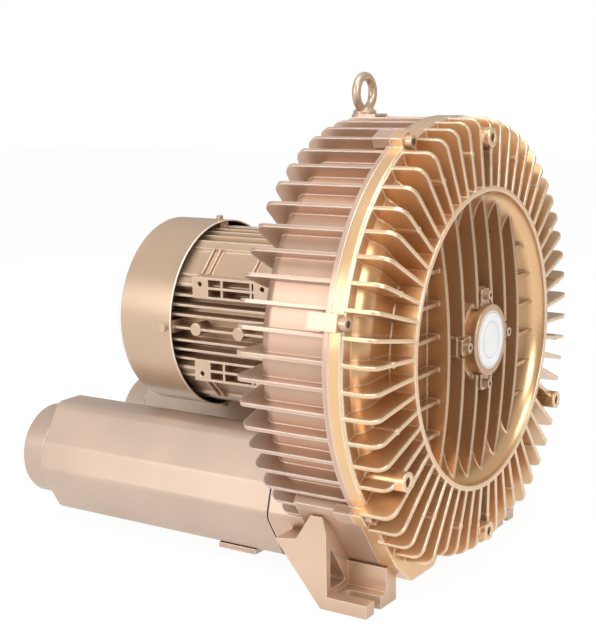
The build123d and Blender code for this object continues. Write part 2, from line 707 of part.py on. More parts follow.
frame_length = frame_front_x - frame_back_x
lug_tip = cowl_radius - cowl_wall - 0.4
fin_rows = [motor_fin_first + motor_fin_pitch * k for k in range(motor_fin_rows)]
ladder_rows = fin_rows[-3:]
ladder_middle_x = (ladder_back_x + ladder_front_x) / 2
with BuildPart() as motor_housing:
    with BuildSketch(section(frame_back_x)) as frame:
        Circle(frame_radius)
        for row in fin_rows:
            tip = math.sqrt(motor_fin_tip**2 - row**2)
            with Locations((0, row), (0, -row)):
                Rectangle(2 * tip, motor_fin_thickness)
            with Locations((row, 0), (-row, 0)):
                Rectangle(motor_fin_thickness, 2 * tip)
        Rectangle(2 * motor_fin_tip, motor_fin_thickness)
        Rectangle(motor_fin_thickness, 2 * motor_fin_tip)
        for angle in (45, 135):
            with Locations(Location((0, 0, 0), (0, 0, angle))):
                Rectangle(2 * panel_distance, panel_width)
        Circle(stator_radius, mode=Mode.SUBTRACT)
    extrude(frame.sketch, amount=frame_length)
    with BuildSketch(section(frame_back_x + 2)) as cowl_lugs:
        for angle in (0, 90, 180, 270):
            with Locations(Location((0, 0, 0), (0, 0, angle))):
                with Locations((0, (frame_radius - 2 + lug_tip) / 2)):
                    Rectangle(14, lug_tip - frame_radius + 2)
    extrude(cowl_lugs.sketch, amount=16)
    for x in gusset_stations:
        with BuildSketch(section(x)) as gusset:
            for angle in (45, 135):
                with Locations(Location((0, 0, 0), (0, 0, angle))):
                    Rectangle(2 * (panel_distance + gusset_height), 0.6 * panel_width)
            Circle(stator_radius, mode=Mode.SUBTRACT)
        extrude(gusset.sketch, amount=motor_fin_thickness)
    # frames with drilled pads on the sides, and two bosses on the middle rib
    for side in (-1, 1):
        for level in (-1, 1):
            with BuildSketch(side_view(side * ladder_y)) as ladder:
                with Locations((ladder_middle_x, level * ladder_rows[1])):
                    Rectangle(ladder_front_x - ladder_back_x, 2 * motor_fin_pitch + motor_fin_thickness)
                window_edges = [ladder_back_x + pad_length, *ladder_bars, ladder_front_x - pad_length]
                for left, right in zip(window_edges, window_edges[1:]):
                    with Locations(
                        ((left + right) / 2, level * (ladder_rows[1] - motor_fin_pitch / 2)),
                        ((left + right) / 2, level * (ladder_rows[1] + motor_fin_pitch / 2)),
                    ):
                        window_height = motor_fin_pitch - motor_fin_thickness
                        window_length = right - left - motor_fin_thickness
                        Rectangle(window_length, window_height, mode=Mode.SUBTRACT)
                with Locations(
                    (ladder_back_x + pad_length / 2, level * (ladder_rows[1] + 4)),
                    (ladder_front_x - pad_length / 2, level * (ladder_rows[1] + 4)),
                ):
                    Circle(pad_hole_radius, mode=Mode.SUBTRACT)
            extrude(ladder.sketch, amount=side * ladder_depth)
        with BuildSketch(side_view(side * (motor_fin_tip + 1))) as boss:
            with Locations(*[(x, 0) for x in boss_stations]):
                Circle(boss_radius)
        extrude(boss.sketch, amount=side * 24)
    # room and wiring neck for the terminal box
    with BuildSketch(side_view(box_inner_y + 40)) as box_room:
        with Locations((box_middle_x, box_lift)):
            Rectangle(box_length + 4, box_height + 4)
    extrude(box_room.sketch, amount=40, mode=Mode.SUBTRACT)
    with BuildSketch(side_view(box_inner_y)) as neck:
        with Locations((box_middle_x, box_lift)):
            Rectangle(60, 44)
    extrude(neck.sketch, amount=box_inner_y - 58)
    with BuildSketch(side_view(box_inner_y)) as wire_way:
        with Locations((box_middle_x, box_lift)):
            Rectangle(36, 24)
    extrude(wire_way.sketch, amount=box_inner_y - 50, mode=Mode.SUBTRACT)
    holes(section(frame_front_x), [(0, 0)], stator_radius, frame_length)
    holes(facing_back(frame_back_x), around(end_bolt_circle, [45, 135, 225, 315]), 3, 16)
    for angle in (0, 90, 180, 270):
        holes(outward(cowl_screw_x, angle, cowl_radius), [(0, 0)], 2.5, 12)
motor_housing.part.label = "motor_housing"
export_step(motor_housing.part, "parts/motor_housing.step")

with BuildPart() as stator_core:
    with BuildSketch(radial(0)):
        ring(stator_front_x - stator_length, stator_front_x, stator_bore, stator_radius)
    revolve(axis=shaft_axis)
stator_core.part.label = "stator_core"
export_step(stator_core.part, "parts/stator_core.step")

with BuildPart() as stator_windings:
    with BuildSketch(radial(0)):
        back_x = stator_front_x - stator_length
        ring(stator_front_x, stator_front_x + winding_reach, stator_bore + 4, stator_radius - 9)
        ring(back_x - winding_reach, back_x, stator_bore + 4, stator_radius - 9)
    revolve(axis=shaft_axis)
stator_windings.part.label = "stator_windings"
export_step(stator_windings.part, "parts/stator_windings.step")

shield_end_x = rear_bearing_x - 3
with BuildPart() as rear_end_shield:
    with BuildSketch(radial(0)):
        ring(rear_bearing_x, frame_back_x, bearing_outer + seat_gap, frame_radius + 4)
        ring(shield_end_x, rear_bearing_x, inner_ring_radius + 1, frame_radius + 4)
    revolve(axis=shaft_axis)
    holes(facing_back(shield_end_x), around(end_bolt_circle, [45, 135, 225, 315]), 3.2, 30)
rear_end_shield.part.label = "rear_end_shield"
export_step(rear_end_shield.part, "parts/rear_end_shield.step")

with BuildPart() as end_shield_bolts:
    bolt_points = around(end_bolt_circle, [45, 135, 225, 315])
    socket_screws(facing_back(shield_end_x), bolt_points, 6, frame_back_x - shield_end_x + 14)
end_shield_bolts.part.label = "end_shield_bolts"
export_step(end_shield_bolts.part, "parts/end_shield_bolts.step")

with BuildPart() as fan_cowl:
    with BuildSketch(radial(0)):
        ring(cowl_back_x, cowl_front_x, cowl_radius - cowl_wall, cowl_radius)
        ring(cowl_back_x, cowl_back_x + cowl_wall, cowl_radius - 8, cowl_radius)
    revolve(axis=shaft_axis)
    for angle in (0, 90, 180, 270):
        holes(outward(cowl_screw_x, angle, cowl_radius + 1), [(0, 0)], 2.7, 6)
fan_cowl.part.label = "fan_cowl"
export_step(fan_cowl.part, "parts/fan_cowl.step")

with BuildPart() as cowl_screws:
    for angle in (0, 90, 180, 270):
        socket_screws(outward(cowl_screw_x, angle, cowl_radius), [(0, 0)], 5, 10)
cowl_screws.part.label = "cowl_screws"
export_step(cowl_screws.part, "parts/cowl_screws.step")

with BuildPart() as cowl_grille:
    with BuildSketch(radial(0)):
        with BuildLine():
            Polyline(
                (cowl_back_x, grille_radius),
                (cowl_back_x - 0.6 * grille_bulge, grille_radius - 4),
                (cowl_back_x - 0.9 * grille_bulge, grille_radius - 18),
                (cowl_back_x - grille_bulge, 0.5 * grille_radius),
                (cowl_back_x - grille_bulge, 0),
                (cowl_back_x - grille_bulge + 2, 0),
                (cowl_back_x - grille_bulge + 2, 0.5 * grille_radius),
                (cowl_back_x - 0.9 * grille_bulge + 2, grille_radius - 19),
                (cowl_back_x - 0.6 * grille_bulge + 2, grille_radius - 6),
                (cowl_back_x, grille_radius - 2),
                close=True,
            )
        make_face()
    revolve(axis=shaft_axis)
    with BuildSketch(section(cowl_back_x - grille_bulge - 1)) as slots:
        for angle in range(0, 360, 20):
            with Locations(Location((0, 0, 0), (0, 0, angle))):
                with Locations((0, 0.6 * grille_radius)):
                    Rectangle(7, 0.55 * grille_radius)
    extrude(slots.sketch, amount=grille_bulge + 4, mode=Mode.SUBTRACT)
cowl_grille.part.label = "cowl_grille"
export_step(cowl_grille.part, "parts/cowl_grille.step")

# ---- terminal box, on the far side -------------------------------------------------------------------------------------------------
box_top = box_lift + box_height / 2
box_low = box_lift - box_height / 2
lid_screw_points = [
    (box_middle_x + u * (box_length / 2 - 7), box_lift + v * (box_height / 2 - 7))
    for u in (-1, 1)
    for v in (-1, 1)
]
with BuildPart() as terminal_box:
    with BuildSketch(side_view(box_inner_y)) as outline:
        with Locations((box_middle_x, box_lift)):
            RectangleRounded(box_length, box_height, 8)
    extrude(outline.sketch, amount=box_inner_y - box_outer_y)
    with BuildSketch(side_view(box_inner_y + box_wall)) as room:
        with Locations((box_middle_x, box_lift)):
            RectangleRounded(box_length - 2 * box_wall, box_height - 2 * box_wall, 5)
    extrude(room.sketch, amount=box_inner_y - box_outer_y, mode=Mode.SUBTRACT)
    with BuildSketch(side_view(box_inner_y + box_wall)) as posts:
        with Locations(*lid_screw_points):
            Rectangle(10, 10)
    extrude(posts.sketch, amount=box_inner_y + box_wall - box_outer_y)
    lid_plane = Plane(origin=(datum_x, box_outer_y, axis_height), x_dir=(-1, 0, 0), z_dir=(0, 1, 0))
    holes(lid_plane, [(-x, z) for x, z in lid_screw_points], 2.5, 16)
    with BuildSketch(side_view(box_inner_y)) as wire_hole:
        with Locations((box_middle_x, box_lift)):
            Rectangle(36, 24)
    extrude(wire_hole.sketch, amount=-box_wall - 1, mode=Mode.SUBTRACT)
    gland_plane = Plane(
        origin=(datum_x + box_middle_x - box_length / 2, gland_y, axis_height + box_lift),
        x_dir=(0, -1, 0),
        z_dir=(-1, 0, 0),
    )
    holes(gland_plane, [(0, 0)], gland_thread, box_wall + 1)
terminal_box.part.label = "terminal_box"
export_step(terminal_box.part, "parts/terminal_box.step")

with BuildPart() as terminal_box_gasket:
    with BuildSketch(side_view(box_outer_y)) as seal_outline:
        with Locations((box_middle_x, box_lift)):
            RectangleRounded(box_length, box_height, 8)
            RectangleRounded(box_length - 26, box_height - 26, 5, mode=Mode.SUBTRACT)
        with Locations(*lid_screw_points):
            Circle(2.5, mode=Mode.SUBTRACT)
    extrude(seal_outline.sketch, amount=-gasket_box)
terminal_box_gasket.part.label = "terminal_box_gasket"
export_step(terminal_box_gasket.part, "parts/terminal_box_gasket.step")

with BuildPart() as terminal_box_lid:
    with BuildSketch(side_view(box_outer_y + gasket_box)) as outline:
        with Locations((box_middle_x, box_lift)):
            RectangleRounded(box_length, box_height, 8)
    extrude(outline.sketch, amount=-lid_depth, taper=4)
    with BuildSketch(side_view(box_outer_y + gasket_box)) as room:
        with Locations((box_middle_x, box_lift)):
            RectangleRounded(box_length - 26, box_height - 26, 5)
    extrude(room.sketch, amount=-lid_depth + box_wall, mode=Mode.SUBTRACT)
    lid_face = lid_plane.offset(gasket_box + lid_depth)
    screw_recess = [(-x, z) for x, z in lid_screw_points]
    holes(lid_face, screw_recess, 4.6, lid_depth - 6)
    holes(lid_face, screw_recess, 2.6, lid_depth)
terminal_box_lid.part.label = "terminal_box_lid"
export_step(terminal_box_lid.part, "parts/terminal_box_lid.step")

with BuildPart() as terminal_lid_screws:
    socket_screws(lid_plane.offset(gasket_box + 6), screw_recess, 5, gasket_box + 6 + 14)
terminal_lid_screws.part.label = "terminal_lid_screws"
export_step(terminal_lid_screws.part, "parts/terminal_lid_screws.step")

with BuildPart() as terminal_board:
    with BuildSketch(side_view(box_inner_y + box_wall)) as board:
        with Locations((box_middle_x, box_lift)):
            Rectangle(56, 34)
            Rectangle(30, 6, mode=Mode.SUBTRACT)
    extrude(board.sketch, amount=-12)
    studs = [(box_middle_x + u, box_lift + v) for u in (-18, 0, 18) for v in (-10, 10)]
    extrude(circles(side_view(box_inner_y + box_wall + 12), studs, 3), amount=-12)
terminal_board.part.label = "terminal_board"
export_step(terminal_board.part, "parts/terminal_board.step")

with BuildPart() as cable_gland:
    extrude(circles(gland_plane.offset(-box_wall - 6), [(0, 0)], gland_thread), amount=box_wall + 6)
    with BuildSketch(gland_plane) as gland_hex:
        RegularPolygon(radius=14, side_count=6)
    extrude(gland_hex.sketch, amount=7)
    extrude(circles(gland_plane.offset(7), [(0, 0)], 12), amount=15)
    fillet(cable_gland.edges().filter_by(GeomType.CIRCLE).sort_by(Axis.X)[0], radius=3)
    holes(gland_plane.offset(22), [(0, 0)], gland_bore / 2, 40)
cable_gland.part.label = "cable_gland"
export_step(cable_gland.part, "parts/cable_gland.step")

# ---- silencers -------------------------------------------------------------------------------------------------------------------------
shell_front_x = pipe_front_x - gasket_thickness
shell_room_x = pipe_back_x + pipe_end_wall


def pipe_facing_back(x, side):
    """Plane across one silencer that faces its port; local x is -Y and local y is up."""
    return Plane(
        origin=(datum_x + x, side * pipe_y, axis_height - pipe_drop),
        x_dir=(0, -1, 0),
        z_dir=(-1, 0, 0),
    )


flange_screw_points = around(flange_screw_circle, [45, 135, 225, 315])
for side, place in ((-1, "near"), (1, "far")):
    port = [(0, 0)]
    with BuildPart() as silencer_shell:
        extrude(pipe_outline(pipe_back_x, side), amount=shell_front_x - pipe_back_x)
        room = pipe_outline(shell_room_x, side, inset=pipe_wall)
        extrude(room, amount=shell_front_x - shell_room_x, mode=Mode.SUBTRACT)
        face = pipe_facing_back(pipe_back_x, side)
        holes(face, port, tube_bore + tube_wall, pipe_end_wall)
        holes(face, tie_points, tie_bolt_size / 2, pipe_end_wall)
        holes(face, flange_screw_points, flange_screw_size / 2, pipe_end_wall)
        base = Plane(
            origin=(datum_x, 0, axis_height + pipe_bottom),
            x_dir=(1, 0, 0),
            z_dir=(0, 0, -1),
        )
        holes(base, [(rear_foot_x, -side * strap_screw_y)], strap_screw_size / 2, pipe_wall + 4)
    silencer_shell.part.label = f"silencer_shell_{place}"
    export_step(silencer_shell.part, f"parts/silencer_shell_{place}.step")

    with BuildPart() as port_flange:
        with BuildSketch(pipe_facing_back(pipe_back_x, side)) as collar:
            Circle(port_flange_radius)
        extrude(collar.sketch, amount=rear_reach + pipe_back_x)
        chamfer(port_flange.edges().filter_by(GeomType.CIRCLE).sort_by(Axis.X)[0], length=2.5)
        mouth = pipe_facing_back(-rear_reach, side)
        holes(mouth, port, port_bore, rear_reach + pipe_back_x)
        holes(mouth, flange_screw_points, 0.9 * flange_screw_size, flange_screw_size + 2)
        holes(mouth, flange_screw_points, flange_screw_size / 2 + 0.3, rear_reach + pipe_back_x)
    port_flange.part.label = f"port_flange_{place}"
    export_step(port_flange.part, f"parts/port_flange_{place}.step")

    with BuildPart() as silencer_gasket:
        extrude(pipe_outline(shell_front_x, side), amount=gasket_thickness)
        front = pipe_facing_back(shell_front_x, side)
        holes(front, port, duct_radius, gasket_thickness)
        holes(front, tie_points, tie_bolt_size / 2, gasket_thickness)
    silencer_gasket.part.label = f"silencer_gasket_{place}"
    export_step(silencer_gasket.part, f"parts/silencer_gasket_{place}.step")

    with BuildPart() as perforated_tube:
        tube_length = shell_front_x - pipe_back_x
        extrude(circles(pipe_section(pipe_back_x, side), port, tube_bore + tube_wall), amount=tube_length)
        holes(pipe_section(shell_front_x, side), port, tube_bore, tube_length)
        for x in range(int(pipe_back_x) + 40, int(shell_front_x) - 20, tube_slot_pitch):
            for turn in (0, 90):
                slot_plane = Plane(
                    origin=(datum_x + x, side * pipe_y, axis_height - pipe_drop),
                    x_dir=(1, 0, 0),
                    z_dir=(0, math.sin(math.radians(turn)), math.cos(math.radians(turn))),
                )
                with BuildSketch(slot_plane) as slot:
                    Rectangle(20, 8)
                extrude(slot.sketch, amount=50, both=True, mode=Mode.SUBTRACT)
    perforated_tube.part.label = f"perforated_tube_{place}"
    export_step(perforated_tube.part, f"parts/perforated_tube_{place}.step")

    with BuildPart() as absorber:
        lining = pipe_outline(shell_room_x, side, inset=pipe_wall)
        extrude(lining, amount=shell_front_x - shell_room_x)
        holes(pipe_section(shell_front_x, side), port, tube_bore + tube_wall, 400)
        holes(pipe_section(shell_front_x, side), tie_points, tie_bolt_size / 2, 400)
        holes(base, [(rear_foot_x, -side * strap_screw_y)], strap_screw_size / 2, pipe_wall + 4)
    absorber.part.label = f"absorber_{place}"
    export_step(absorber.part, f"parts/absorber_{place}.step")

with BuildPart() as silencer_tie_bolts:
    for side in (-1, 1):
        tie_length = pipe_front_x - pipe_back_x + 18
        socket_screws(pipe_facing_back(pipe_back_x, side), tie_points, tie_bolt_size, tie_length)
silencer_tie_bolts.part.label = "silencer_tie_bolts"
export_step(silencer_tie_bolts.part, "parts/silencer_tie_bolts.step")

with BuildPart() as port_flange_screws:
    seat_x = -rear_reach + flange_screw_size + 2
    for side in (-1, 1):
        screw_seat = pipe_facing_back(seat_x, side)
        socket_screws(screw_seat, flange_screw_points, flange_screw_size, pipe_back_x - seat_x + 7)
port_flange_screws.part.label = "port_flange_screws"
export_step(port_flange_screws.part, "parts/port_flange_screws.step")

# ---- bearings and seal --------------------------------------------------------------------------------------------------------------------
for bearing_name, x in (("front_bearing", front_bearing_x), ("rear_bearing", rear_bearing_x)):
    with BuildPart() as outer_ring:
        with BuildSketch(radial(0)):
            ring(x, x + bearing_width, inner_ring_radius + running_gap, bearing_outer)
        revolve(axis=shaft_axis)
    outer_ring.part.label = f"{bearing_name}_outer_ring"
    export_step(outer_ring.part, f"parts/{bearing_name}_outer_ring.step")
    with BuildPart() as inner_ring:
        with BuildSketch(radial(0)):
            ring(x, x + bearing_width, bearing_bore, inner_ring_radius)
        revolve(axis=shaft_axis)
    inner_ring.part.label = f"{bearing_name}_inner_ring"
    export_step(inner_ring.part, f"parts/{bearing_name}_inner_ring.step")

with BuildPart() as shaft_seal:
    with BuildSketch(radial(0)):
        ring(drum_back_x, drum_back_x + seal_width, seal_outer - 4, seal_outer)
        ring(drum_back_x, drum_back_x + 2, shaft_radius + 3, seal_outer)
        ring(drum_back_x + 2, drum_back_x + seal_width - 1, shaft_radius + running_gap, shaft_radius + 3)
        ring(drum_back_x, drum_back_x + 3, shaft_radius + 1.5, shaft_radius + 4)
    revolve(axis=shaft_axis)
shaft_seal.part.label = "shaft_seal"
export_step(shaft_seal.part, "parts/shaft_seal.step")

# ---- rotor ------------------------------------------------------------------------------------------------------------------------------------
impeller_back_x = rotor_back_x - hub_overhang
bearing_end_x = front_bearing_x + bearing_width
core_back_x = stator_front_x - stator_length
with BuildPart() as shaft:
    with BuildSketch(radial(0)):
        ring(rotor_front_x, bearing_end_x + 3, 0, bearing_bore)
        ring(impeller_back_x, rotor_front_x, 0, impeller_seat)
        ring(core_back_x, impeller_back_x, 0, shaft_radius)
        ring(core_back_x, stator_front_x, 0, core_seat)
        ring(frame_back_x, core_back_x, 0, shaft_radius)
        ring(rear_bearing_x, frame_back_x, 0, bearing_bore)
        ring(shaft_end_x, rear_bearing_x, 0, fan_seat)
        ring(bearing_end_x, bearing_end_x + 1.5, bearing_bore - 1, bearing_bore, mode=Mode.SUBTRACT)
    revolve(axis=shaft_axis)
    with BuildSketch(top_view(impeller_seat - key_depth)) as keyway:
        with Locations((key_middle_x, 0)):
            Rectangle(key_length, key_width)
    extrude(keyway.sketch, amount=20, mode=Mode.SUBTRACT)
shaft.part.label = "shaft"
export_step(shaft.part, "parts/shaft.step")

with BuildPart() as impeller_key:
    with BuildSketch(top_view(impeller_seat - key_depth)) as key:
        with Locations((key_middle_x, 0)):
            Rectangle(key_length, key_width)
    extrude(key.sketch, amount=key_height)
impeller_key.part.label = "impeller_key"
export_step(impeller_key.part, "parts/impeller_key.step")

with BuildPart() as impeller:
    web_middle = (blade_front_x + rotor_back_x) / 2
    with BuildSketch(radial(0)):
        ring(impeller_back_x, rotor_front_x, impeller_seat, hub_outer)
        ring(web_middle - 5, web_middle + 5, hub_outer, blade_root)
        ring(rotor_back_x, blade_front_x, blade_root - 6, blade_root)
        ring(web_middle - 2, web_middle + 2, blade_root, impeller_radius)
    revolve(axis=shaft_axis)
    with BuildSketch(section(rotor_back_x)) as blades:
        blade_length = impeller_radius - blade_root + 2
        with PolarLocations(blade_root - 2 + blade_length / 2, blade_count):
            Rectangle(blade_length, blade_thickness)
        with BuildSketch(mode=Mode.INTERSECT):
            Circle(impeller_radius)
    extrude(blades.sketch, amount=blade_front_x - rotor_back_x)
    with BuildSketch(section(web_middle - 6)) as lightening:
        with PolarLocations((hub_outer + blade_root - 6) / 2, 6):
            Circle(24)
    extrude(lightening.sketch, amount=12, mode=Mode.SUBTRACT)
    with BuildSketch(top_view(0)) as hub_keyway:
        with Locations((key_middle_x, 0)):
            Rectangle(key_length, key_width)
    extrude(hub_keyway.sketch, amount=impeller_seat - key_depth + key_height, mode=Mode.SUBTRACT)
impeller.part.label = "impeller"
export_step(impeller.part, "parts/impeller.step")

with BuildPart() as impeller_spacer:
    with BuildSketch(radial(0)):
        ring(rotor_front_x, front_bearing_x, bearing_bore, inner_ring_radius - 2)
    revolve(axis=shaft_axis)
impeller_spacer.part.label = "impeller_spacer"
export_step(impeller_spacer.part, "parts/impeller_spacer.step")

with BuildPart() as bearing_circlip:
    with BuildSketch(radial(0)):
        ring(bearing_end_x, bearing_end_x + 1.5, bearing_bore - 1, bearing_bore + 3)
    revolve(axis=shaft_axis)
bearing_circlip.part.label = "bearing_circlip"
export_step(bearing_circlip.part, "parts/bearing_circlip.step")

with BuildPart() as rotor_core:
    with BuildSketch(radial(0)):
        ring(core_back_x, stator_front_x, core_seat, stator_bore - air_gap)
        ring(core_back_x - 8, core_back_x, shaft_radius + 8, stator_bore - 3)
        ring(stator_front_x, stator_front_x + 8, shaft_radius + 8, stator_bore - 3)
    revolve(axis=shaft_axis)
rotor_core.part.label = "rotor_core"
export_step(rotor_core.part, "parts/rotor_core.step")

with BuildPart() as cooling_fan:
    fan_back_x = fan_front_x - fan_width
    with BuildSketch(radial(0)):
        ring(fan_back_x, fan_front_x, fan_seat, fan_seat + 8)
        ring(fan_front_x - 3, fan_front_x, fan_seat, 0.6 * fan_radius)
    revolve(axis=shaft_axis)
    with BuildSketch(section(fan_back_x)) as vanes:
        vane_length = fan_radius - fan_seat - 4
        with PolarLocations(fan_radius - vane_length / 2, fan_blades):
            Rectangle(vane_length, 2.5)
    extrude(vanes.sketch, amount=fan_width)
cooling_fan.part.label = "cooling_fan"
export_step(cooling_fan.part, "parts/cooling_fan.step")

with BuildPart() as fan_circlip:
    with BuildSketch(radial(0)):
        ring(fan_back_x - 1.5, fan_back_x, fan_seat, fan_seat + 3)
    revolve(axis=shaft_axis)
fan_circlip.part.label = "fan_circlip"
export_step(fan_circlip.part, "parts/fan_circlip.step")
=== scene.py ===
import math

import bpy
import bmesh
from mathutils import Matrix, Vector


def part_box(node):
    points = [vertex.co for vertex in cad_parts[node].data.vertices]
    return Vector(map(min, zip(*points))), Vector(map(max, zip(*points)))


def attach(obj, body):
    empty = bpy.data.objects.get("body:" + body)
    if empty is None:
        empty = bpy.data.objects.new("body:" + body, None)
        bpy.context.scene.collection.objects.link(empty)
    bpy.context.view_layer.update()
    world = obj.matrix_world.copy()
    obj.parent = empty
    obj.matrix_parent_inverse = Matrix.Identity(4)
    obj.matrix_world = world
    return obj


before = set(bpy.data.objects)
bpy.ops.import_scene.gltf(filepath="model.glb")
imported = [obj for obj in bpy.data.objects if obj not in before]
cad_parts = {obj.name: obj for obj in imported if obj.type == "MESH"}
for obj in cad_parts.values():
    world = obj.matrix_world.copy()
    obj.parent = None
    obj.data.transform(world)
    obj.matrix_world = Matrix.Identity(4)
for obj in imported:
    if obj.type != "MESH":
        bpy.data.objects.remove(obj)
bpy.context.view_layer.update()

# ---------------------------------------------------------------------------
# The view. The machine stands on a pale floor, seen from a little above the
# shaft and from the cover's end, with the near silencer in front.
# ---------------------------------------------------------------------------
hub_low, hub_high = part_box("bearing_cap")
shaft_height = (hub_low[2] + hub_high[2]) / 2
cap_front = hub_high[0]

view_azimuth = math.radians(33.292)
view_elevation = math.radians(10.786)
view_roll = math.radians(-1.029)
view_place = Vector((cap_front + 0.5810, -1.2531, shaft_height + 0.2850))

view_right = Vector((math.cos(view_azimuth), math.sin(view_azimuth), 0))
view_back = Vector((
    math.sin(view_azimuth) * math.cos(view_elevation),
    -math.cos(view_azimuth) * math.cos(view_elevation),
    math.sin(view_elevation),
))
view_up = view_back.cross(view_right)
rolled_right = math.cos(view_roll) * view_right + math.sin(view_roll) * view_up
rolled_up = math.cos(view_roll) * view_up - math.sin(view_roll) * view_right
camera_data = bpy.data.cameras.new("view")
camera_data.sensor_width = 36.0
camera_data.lens = 74.7
camera = bpy.data.objects.new("view", camera_data)
bpy.context.collection.objects.link(camera)
camera.matrix_world = Matrix((
    (rolled_right.x, rolled_up.x, view_back.x, view_place.x),
    (rolled_right.y, rolled_up.y, view_back.y, view_place.y),
    (rolled_right.z, rolled_up.z, view_back.z, view_place.z),
    (0, 0, 0, 1),
))
bpy.context.scene.camera = camera
bpy.context.scene.view_settings.view_transform = "Standard"

# ---------------------------------------------------------------------------
# The studio: a white floor in a white room, lit by three soft boxes, one
# over the machine, one on the cover's side and one on the near side.
# ---------------------------------------------------------------------------
floor_reach = 6.0
floor_mesh = bpy.data.meshes.new("floor")
floor_mesh.from_pydata(
    [
        (-floor_reach, -floor_reach, 0),
        (floor_reach, -floor_reach, 0),
        (floor_reach, floor_reach, 0),
        (-floor_reach, floor_reach, 0),
    ],
    [], [(0, 1, 2, 3)],
)
floor = bpy.data.objects.new("floor", floor_mesh)
bpy.context.collection.objects.link(floor)
floor_paper = bpy.data.materials.new("floor_paper")
floor_paper.use_nodes = True
nodes, links = floor_paper.node_tree.nodes, floor_paper.node_tree.links
paper = nodes["Principled BSDF"]
paper.inputs["Base Color"].default_value = (0.90, 0.90, 0.89, 1)
paper.inputs["Roughness"].default_value = 0.9
seen = nodes.new("ShaderNodeLightPath")
glow = nodes.new("ShaderNodeEmission")
glow.inputs["Color"].default_value = (1, 1, 1, 1)
glow.inputs["Strength"].default_value = 1.05
blend = nodes.new("ShaderNodeMixShader")
facing = nodes.new("ShaderNodeMath")
facing.operation = "MAXIMUM"
links.new(seen.outputs["Is Camera Ray"], facing.inputs[0])
links.new(seen.outputs["Is Glossy Ray"], facing.inputs[1])
soften = nodes.new("ShaderNodeMath")
soften.operation = "MULTIPLY"
soften.inputs[1].default_value = 0.9
links.new(facing.outputs[0], soften.inputs[0])
links.new(soften.outputs[0], blend.inputs[0])
links.new(paper.outputs["BSDF"], blend.inputs[1])
links.new(glow.outputs["Emission"], blend.inputs[2])
links.new(blend.outputs["Shader"], nodes["Material Output"].inputs["Surface"])
floor_mesh.materials.append(floor_paper)

room = bpy.data.worlds.new("room")
bpy.context.scene.world = room
room.use_nodes = True
nodes, links = room.node_tree.nodes, room.node_tree.links
walls = nodes["Background"]
walls.inputs["Color"].default_value = (1, 1, 1, 1)
walls.inputs["Strength"].default_value = 0.38
bright = nodes.new("ShaderNodeBackground")
bright.inputs["Color"].default_value = (1, 1, 1, 1)
bright.inputs["Strength"].default_value = 1.0
seen = nodes.new("ShaderNodeLightPath")
blend = nodes.new("ShaderNodeMixShader")
links.new(seen.outputs["Is Camera Ray"], blend.inputs[0])
links.new(walls.outputs["Background"], blend.inputs[1])
links.new(bright.outputs["Background"], blend.inputs[2])
links.new(blend.outputs["Shader"], nodes["World Output"].inputs["Surface"])


def soft_lamp(name, place, aim, width, height, power):
    """Rectangular soft box at a place, turned to face a point."""
    lamp_data = bpy.data.lights.new(name, "AREA")
    lamp_data.shape = "RECTANGLE"
    lamp_data.size = width
    lamp_data.size_y = height
    lamp_data.energy = power
    lamp = bpy.data.objects.new(name, lamp_data)
    bpy.context.collection.objects.link(lamp)
    lamp.location = place
    towards = Vector(aim) - Vector(place)
    lamp.rotation_euler = towards.to_track_quat("-Z", "Y").to_euler()


soft_lamp("overhead", (0.3, -0.7, 2.3), (0, 0, 0.3), 1.6, 1.2, 42)
soft_lamp("cover_side", (2.2, -1.3, 1.4), (0.1, 0, 0.3), 1.0, 1.2, 27)
soft_lamp("near_side", (-0.9, -2.3, 1.0), (-0.1, 0, 0.25), 1.6, 1.2, 24)
